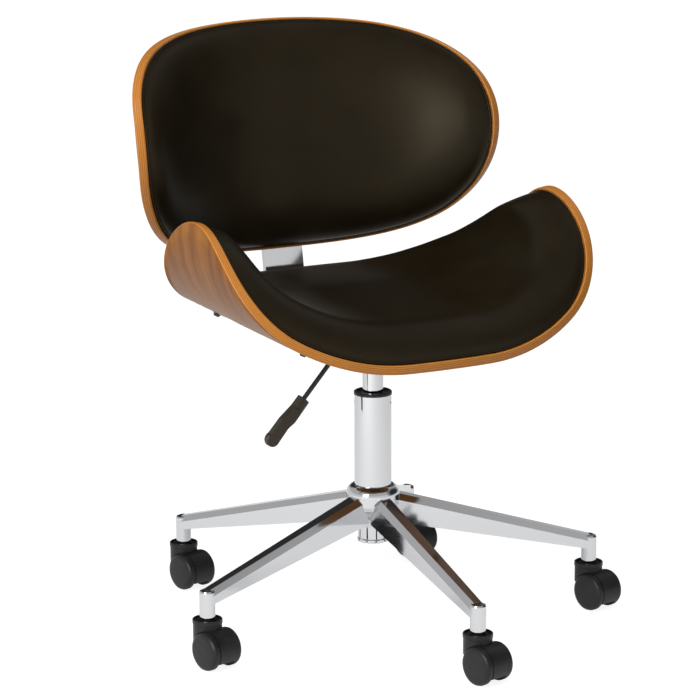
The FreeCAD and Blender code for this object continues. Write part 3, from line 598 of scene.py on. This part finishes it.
@dataclass(frozen=True)
class Pad:
    """A foam pad with a sewn cover on a bent sheet: crowned top, rolled edge and a piped welt. Millimetres."""

    sheet: BentSheet
    name: str
    middle: float
    ends: float
    low_roll: float
    high_roll: float
    dip: float = 0.0
    inset: float = 3.5
    foot: float = 3.0
    bead: float = 2.0
    bead_sides: int = 10
    bead_in: float = 0.9  # place of the bead's centre, in its radii from the inset
    bead_gap: float = 0.4
    blend: float = 60.0  # half the width in which the low roll turns to the high one
    dip_from: float = 60.0  # where the dip starts, towards the high side
    dip_reach: float = 130.0  # its length, and its half width
    fullness: float = 2.3  # power of the rolled edge's curve
    glue: float = 0.3  # gap between pad and sheet
    base_inset: float = 2.0
    hem: float = 1.5
    belly: float = 0.8
    tuck: float = 1.2  # how far the cover goes in behind the welt
    roll_steps: int = 12
    top_steps: int = 14
    cloth: CoverCloth = CoverCloth()
    most_move: float = 3.0
    smoothing: int = 60
    calm_loops: int = 5  # innermost loops that move as one

    def rolls(self) -> np.ndarray:
        """Width of the rolled edge round the pad, from the low side of the blank to the high side.

        Returns:
            One width for each point of the outline.
        """
        y = self.sheet.flat_loop(0.0)[:, 1]
        share = np.clip((y + self.blend) / (2 * self.blend), 0.0, 1.0)
        return self.low_roll + (self.high_roll - self.low_roll) * share * share * (3 - 2 * share)

    def height(self, flat: np.ndarray, share: float) -> np.ndarray:
        """Height of the cover above the sheet's outer face.

        Args:
            flat: points of the blank.
            share: how far across the rolled edge they are.

        Returns:
            One height for each point.
        """
        reach = sum(run for run, _ in self.sheet.bend)
        rear = np.clip((flat[:, 1] - self.dip_from) / self.dip_reach, 0.0, 1.0)
        rear = rear * np.exp(-(flat[:, 0] / self.dip_reach) ** 2)
        full = self.middle + (self.ends - self.middle) * (flat[:, 0] / reach) ** 2 - self.dip * rear
        return self.sheet.ply + self.foot + (full - self.foot) * (1 - (1 - share) ** self.fullness) ** 0.5

    def loops(self) -> tuple[list[np.ndarray], int]:
        """The pad's loops from the middle of its underside to the middle of its top.

        Returns:
            The loops, and how many of them lie on the sheet or at the welt.
        """
        sheet, under, rolls = self.sheet, self.sheet.ply + self.glue, self.rolls()
        start = self.inset + self.tuck
        made = [sheet.loop(self.inset + self.base_inset, under, draw) for draw in UNDER_DRAWS]
        made += [sheet.loop(self.inset + self.hem, under),
                 sheet.loop(self.inset + self.belly, under + self.hem),
                 sheet.loop(start, under + self.foot)]
        held = len(made)
        for step in range(1, self.roll_steps + 1):
            share = 1 - math.cos(math.pi / 2 * step / self.roll_steps)
            flat = sheet.flat_loop(start + rolls * share)
            made.append(sheet.wrap(flat[:, 0], flat[:, 1], self.height(flat, share)))
        for step in range(1, self.top_steps + 1):
            flat = sheet.flat_loop(start + rolls, TOP_DRAW * step / self.top_steps)
            made.append(sheet.wrap(flat[:, 0], flat[:, 1], self.height(flat, 1.0)))
        return made, held

    def build(self, cover: bpy.types.Material) -> bpy.types.Object:
        """Builds the pad and lets the cover settle over the foam.

        Args:
            cover: the cover's material.

        Returns:
            The pad.
        """
        loops, held = self.loops()
        piece = ring_mesh(self.name, loops)
        self.settle(piece, held * len(loops[0]))
        dress(piece, cover)
        return piece

    def settle(self, piece: bpy.types.Object, held: int) -> None:
        """Lets the foam press the cover out, while the sewn edge holds it.

        Only the smooth part of the push is kept, along the cover's normals, so that no pucker is left.

        Args:
            piece: the pad's object.
            held: how many of its first points stay where they are.
        """
        before = np.array([v.co for v in piece.data.vertices])
        normals = np.array([v.normal for v in piece.data.vertices])
        after = self.pressed_out(piece, list(range(held)) + [len(before) - FANS])
        push = self.smoothed(np.sum((after - before) * normals, axis=1), held // self.sheet.around)
        piece.data.vertices.foreach_set("co", (before + push[:, None] * normals).ravel())
        piece.data.update()
        LOG.info("%s: cover pressed out by %.1f mm at most", piece.name, push.max() / MM)

    def pressed_out(self, piece: bpy.types.Object, sewn: list[int]) -> np.ndarray:
        """Runs a short cloth simulation on the cover.

        Args:
            piece: the pad's object, which is left as it was.
            sewn: the points that are held.

        Returns:
            Where the simulation leaves the points.
        """
        scene = bpy.context.scene
        group = piece.vertex_groups.new(name="sewn")
        group.add(sewn, 1.0, "REPLACE")
        modifier = piece.modifiers.new("cover", "CLOTH")
        settings = modifier.settings
        settings.vertex_group_mass = group.name
        settings.quality = self.cloth.quality
        settings.mass = self.cloth.mass
        settings.tension_stiffness = settings.compression_stiffness = self.cloth.stretch
        settings.bending_stiffness = self.cloth.bend
        settings.use_pressure = True
        settings.uniform_pressure_force = self.cloth.pressure
        settings.effector_weights.gravity = 0.0
        for step in range(1, self.cloth.steps + 1):
            scene.frame_set(step)
        posed = piece.evaluated_get(bpy.context.evaluated_depsgraph_get())
        after = np.array([v.co for v in posed.data.vertices])
        piece.modifiers.remove(modifier)
        scene.frame_set(1)
        return after

    def smoothed(self, push: np.ndarray, sewn: int) -> np.ndarray:
        """Keeps the slow part of a push and limits it.

        Args:
            push: one distance for each point, in metres.
            sewn: how many loops are held.

        Returns:
            The distances to move by, in metres.
        """
        grid = push[:-FANS].reshape(-1, self.sheet.around)
        for _ in range(self.smoothing):
            grid[:sewn] = 0.0
            grid = (np.roll(grid, 1, 1) + 2 * grid + np.roll(grid, -1, 1)) / 4
            wide = np.pad(grid, ((1, 1), (0, 0)), mode="edge")
            grid = (wide[:-2] + 2 * grid + wide[2:]) / 4
        grid[:sewn] = 0.0
        grid = np.clip(grid, 0.0, self.most_move * MM)
        grid[-self.calm_loops:] = grid[-self.calm_loops:].mean()
        return np.append(grid.ravel(), (0.0, grid[-1].mean()))

    def welt(self, cover: bpy.types.Material) -> bpy.types.Object:
        """Builds the piped bead that is sewn into the cover's edge.

        Args:
            cover: the cover's material.

        Returns:
            The bead.
        """
        loops = []
        for k in range(self.bead_sides):
            a = 2 * math.pi * k / self.bead_sides
            loops.append(self.sheet.loop(self.inset + self.bead * (self.bead_in - math.cos(a)),
                                         self.sheet.ply + self.bead_gap + self.bead * (1 + math.sin(a))))
        piece = ring_mesh(self.name + "_welt", loops, closed=True)
        dress(piece, cover)
        return piece


@dataclass(frozen=True)
class Upholstered:
    """One sheet with its pad and welt, riding on the seat."""

    sheet: BentSheet
    pad: Pad
    sheet_node: str
    pad_node: str
    body: str = "seat"

    def build(self, veneer: bpy.types.Material, edge: bpy.types.Material, cover: bpy.types.Material) -> None:
        """Builds and dresses the pieces and puts them in place of the plain solids.

        Args:
            veneer: the sheet's face material.
            edge: the sheet's rim material.
            cover: the pad's material.
        """
        board = self.sheet.build(veneer, edge)
        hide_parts(self.sheet_node)
        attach(board, self.body)
        cushion = self.pad.build(cover)
        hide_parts(self.pad_node)
        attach(cushion, self.body)
        bead = self.pad.welt(cover)
        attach(bead, self.body)
        for piece in (board, cushion, bead):
            LOG.info("%s: %d faces", piece.name, len(piece.data.polygons))


# Finish of the pieces that stay as they are

@dataclass(frozen=True)
class Steelwork:
    """The CAD pieces, each with the finish of its slot; the plywood and pads are replaced later."""

    def dress(self, finishes: Mapping[Route, bpy.types.Material], lever: bpy.types.Material) -> None:
        """Gives each node its material.

        Args:
            finishes: materials by slot.
            lever: material of the lever's handle.
        """
        own = {"lever_handle": lever, "pressure_tube": finishes[Route.CHROME]}
        for row in frame["record"]["subparts"]:
            node = row["node"]
            material = own.get(node, finishes[Route(row["material_slot"])])
            dress(frame["nodes"][node], material)
            LOG.info("%s: CAD shape in %s", node, material.name)


# Studio

@dataclass(frozen=True)
class SoftBox:
    """One soft box: degrees round from the camera and up, width and height in metres, watts."""

    name: str
    azimuth: float
    elevation: float
    size: tuple[float, float]
    power: float
    mirrored: bool = False
    distance: float = 2.6


@dataclass(frozen=True)
class DarkFlag:
    """A dark patch that only mirrors see: its direction, and the cosines where it starts and is full."""

    azimuth: float
    elevation: float
    start: float
    full: float


@dataclass(frozen=True)
class Studio:
    """Camera, floor and soft light of the photograph."""

    distance: float = 4.0
    elevation: float = 12.9
    azimuth: float = 30.0
    aim_height: float = 0.3674
    lens_mm: float = 154.68
    shift_x: float = -0.0327
    floor_half: float = 15.0
    floor_shade: str = "#bebebe"
    floor_mirrored: tuple[str, float] = ("#c8c8c8", 0.35)
    floor_seen: tuple[str, float] = ("#8c8c8c", 0.88)
    even_light: tuple[float, float] = (0.28, 0.7)
    sky: tuple[tuple[float, str], ...] = (
        (0.0, "#ffffff"), (0.12, "#ffffff"), (0.35, "#d4d4d4"), (0.7, "#d0d0d0"), (1.0, "#9a9a9a"))
    sky_level: float = 0.9
    flag_level: float = 0.06
    flags: tuple[DarkFlag, ...] = (DarkFlag(108, 12, 0.72, 0.93), DarkFlag(186, 33, 0.84, 0.93))
    lamp_aim: float = 0.45
    lamps: tuple[SoftBox, ...] = (
        SoftBox("key_softbox", -32, 14, (1.0, 1.2), 36, mirrored=True),
        SoftBox("top_softbox", -25, 62, (1.6, 1.6), 58),
        SoftBox("fill_softbox", 60, 30, (1.2, 1.8), 4))

    def facing(self, azimuth: float, elevation: float) -> Vector:
        """Unit vector away from the chair, by degrees round from the camera to its right and degrees up."""
        a, e = math.radians(azimuth - self.azimuth), math.radians(elevation)
        return Vector((math.cos(e) * math.sin(a), -math.cos(e) * math.cos(a), math.sin(e)))

    def camera(self) -> None:
        """Places the camera at the photograph's viewpoint."""
        data = bpy.data.cameras.new("photo_camera")
        data.lens = self.lens_mm
        data.sensor_width = 36.0
        data.shift_x = self.shift_x
        camera = bpy.data.objects.new("photo_camera", data)
        back = self.facing(0, self.elevation)
        camera.location = Vector((0, 0, self.aim_height)) + back * self.distance
        camera.rotation_euler = back.to_track_quat("Z", "Y").to_euler()
        bpy.context.scene.collection.objects.link(camera)
        bpy.context.scene.camera = camera

    def floor(self) -> None:
        """Lays a plain matt floor that shows white and keeps a soft shadow."""
        half = self.floor_half
        mesh = bpy.data.meshes.new("studio_floor")
        corners = [(-half, -half, 0), (half, -half, 0), (half, half, 0), (-half, half, 0)]
        mesh.from_pydata(corners, [], [(0, 1, 2, 3)])
        floor = bpy.data.objects.new("studio_floor", mesh)
        bpy.context.scene.collection.objects.link(floor)
        material, tree = new_material("matt_white_floor")
        path = add(tree, "ShaderNodeLightPath").outputs
        seen = add(tree, "ShaderNodeMath", {"operation": "MAXIMUM"}, {
            0: path["Is Camera Ray"], 1: path["Is Transmission Ray"]})
        surface = add(tree, "ShaderNodeBsdfDiffuse", inputs={"Color": linear(self.floor_shade)})
        for ray, (colour, strength) in ((path["Is Glossy Ray"], self.floor_mirrored),
                                        (seen.outputs[0], self.floor_seen)):
            pale = add(tree, "ShaderNodeBsdfDiffuse", inputs={"Color": linear(colour)})
            glow = add(tree, "ShaderNodeEmission", inputs={"Strength": strength})
            shown = add(tree, "ShaderNodeAddShader", inputs={0: pale.outputs[0], 1: glow.outputs[0]})
            surface = add(tree, "ShaderNodeMixShader", inputs={
                0: ray, 1: surface.outputs[0], 2: shown.outputs[0]})
        add(tree, "ShaderNodeOutputMaterial", inputs={"Surface": surface.outputs[0]})
        dress(floor, material)

    def world(self) -> None:
        """Surrounds the chair with even light.

        The eye sees it white. In mirrors it is dimmer overhead, with dark flags to the right and high behind.
        """
        world = bpy.data.worlds.new("studio")
        world.use_nodes = True
        tree = world.node_tree
        tree.nodes.clear()
        path = add(tree, "ShaderNodeLightPath").outputs
        way = add(tree, "ShaderNodeTexCoord").outputs["Generated"]
        height = add(tree, "ShaderNodeSeparateXYZ", inputs={"Vector": way}).outputs["Z"]
        sky = add(tree, "ShaderNodeValToRGB", inputs={"Fac": height}, stops=self.sky)
        level = self.sky_level
        for flag in self.flags:
            near = add(tree, "ShaderNodeVectorMath", {"operation": "DOT_PRODUCT"}, {
                0: way, 1: self.facing(flag.azimuth, flag.elevation)})
            dim = add(tree, "ShaderNodeMapRange", inputs={
                "Value": near.outputs["Value"], "From Min": flag.start, "From Max": flag.full,
                "To Min": 1.0, "To Max": self.flag_level})
            level = add(tree, "ShaderNodeMath", {"operation": "MULTIPLY"}, {
                0: dim.outputs["Result"], 1: level}).outputs[0]
        soft = add(tree, "ShaderNodeMapRange", inputs={
            "Value": height, "To Min": self.even_light[0], "To Max": self.even_light[1]})
        even = add(tree, "ShaderNodeBackground", inputs={
            "Color": linear("#ffffff"), "Strength": soft.outputs["Result"]})
        mirror = add(tree, "ShaderNodeBackground", inputs={
            "Color": sky.outputs["Color"], "Strength": level})
        white = add(tree, "ShaderNodeBackground", inputs={"Color": linear("#ffffff"), "Strength": 1.0})
        clear = add(tree, "ShaderNodeMath", {"operation": "MAXIMUM"}, {
            0: path["Is Camera Ray"], 1: path["Is Transmission Ray"]})
        glossy = add(tree, "ShaderNodeMixShader", inputs={
            0: path["Is Glossy Ray"], 1: even.outputs[0], 2: mirror.outputs[0]})
        final = add(tree, "ShaderNodeMixShader", inputs={
            0: clear.outputs[0], 1: glossy.outputs[0], 2: white.outputs[0]})
        add(tree, "ShaderNodeOutputWorld", inputs={"Surface": final.outputs[0]})
        bpy.context.scene.world = world

    def lamp(self, box: SoftBox) -> None:
        """Adds one soft box that faces the chair.

        Args:
            box: its name, place, size and power, and whether mirrors show it.
        """
        data = bpy.data.lights.new(box.name, "AREA")
        data.shape = "RECTANGLE"
        data.size, data.size_y = box.size
        data.energy = box.power
        lamp = bpy.data.objects.new(box.name, data)
        way = self.facing(box.azimuth, box.elevation)
        lamp.location = Vector((0, 0, self.lamp_aim)) + way * box.distance
        lamp.rotation_euler = way.to_track_quat("Z", "Y").to_euler()
        lamp.visible_glossy = box.mirrored
        bpy.context.scene.collection.objects.link(lamp)

    def build(self) -> None:
        """Sets up the whole studio."""
        bpy.context.scene.view_settings.view_transform = "Standard"
        self.camera()
        self.floor()
        self.world()
        for box in self.lamps:
            self.lamp(box)


# A bend lists the length and radius of each arc from the middle out, with None where the sheet is flat. A blank
# lists control points of half its outline, from the middle of its low side to the middle of its high side.
SEAT = BentSheet(
    name="seat_plywood",
    bend=((60.0, None), (151.0, 300.0), (190.0, 135.0)),
    blank=((0, -220), (286, -167), (446, 11), (180, 172), (0, 236)),
    origin=(0.0, 0.0, 390.0), turn=2.3)
BACK = BentSheet(
    name="back_plywood",
    bend=((32.0, None), (271.0, 284.0), (50.0, 113.0)),
    blank=((0, -160), (264, -158), (378, 7), (244, 141), (0, 168)),
    origin=(0.0, 279.0, 621.0), turn=79.6)


def main() -> None:
    """Builds the studio, dresses the kept pieces and adds the upholstery and plywood."""
    logging.basicConfig(level=logging.INFO, format="%(name)s: %(message)s")
    Studio().build()
    finishes = {
        Route.CHROME: ChromePlate().material(),
        Route.NYLON: Moulding().material(),
        Route.BLACK_STEEL: PowderCoat().material(),
        Route.BRIGHT_STEEL: GroundSteel().material(),
        Route.RUBBER: Moulding("moulded_seal_rubber", "#141414", "#1a1a1a", (0.55, 0.68)).material(),
        Route.PLY: WalnutVeneer().material(),
        Route.LEATHERETTE: Leatherette().material(),
    }
    lever = Moulding("moulded_lever_nylon", "#2d271b", "#352f21").material()
    Steelwork().dress(finishes, lever)
    edge = PlyEdge().material()
    seat_pad = Pad(SEAT, "seat_cushion", middle=42.0, ends=48.0, low_roll=58.0, high_roll=20.0, dip=6.0)
    back_pad = Pad(BACK, "back_cushion", middle=34.0, ends=28.0, low_roll=85.0, high_roll=85.0)
    for group in (Upholstered(SEAT, seat_pad, "seat_shell", "seat_pad"),
                  Upholstered(BACK, back_pad, "back_shell", "back_pad")):
        group.build(finishes[Route.PLY], edge, finishes[Route.LEATHERETTE])


if __name__ == "__main__":
    main()
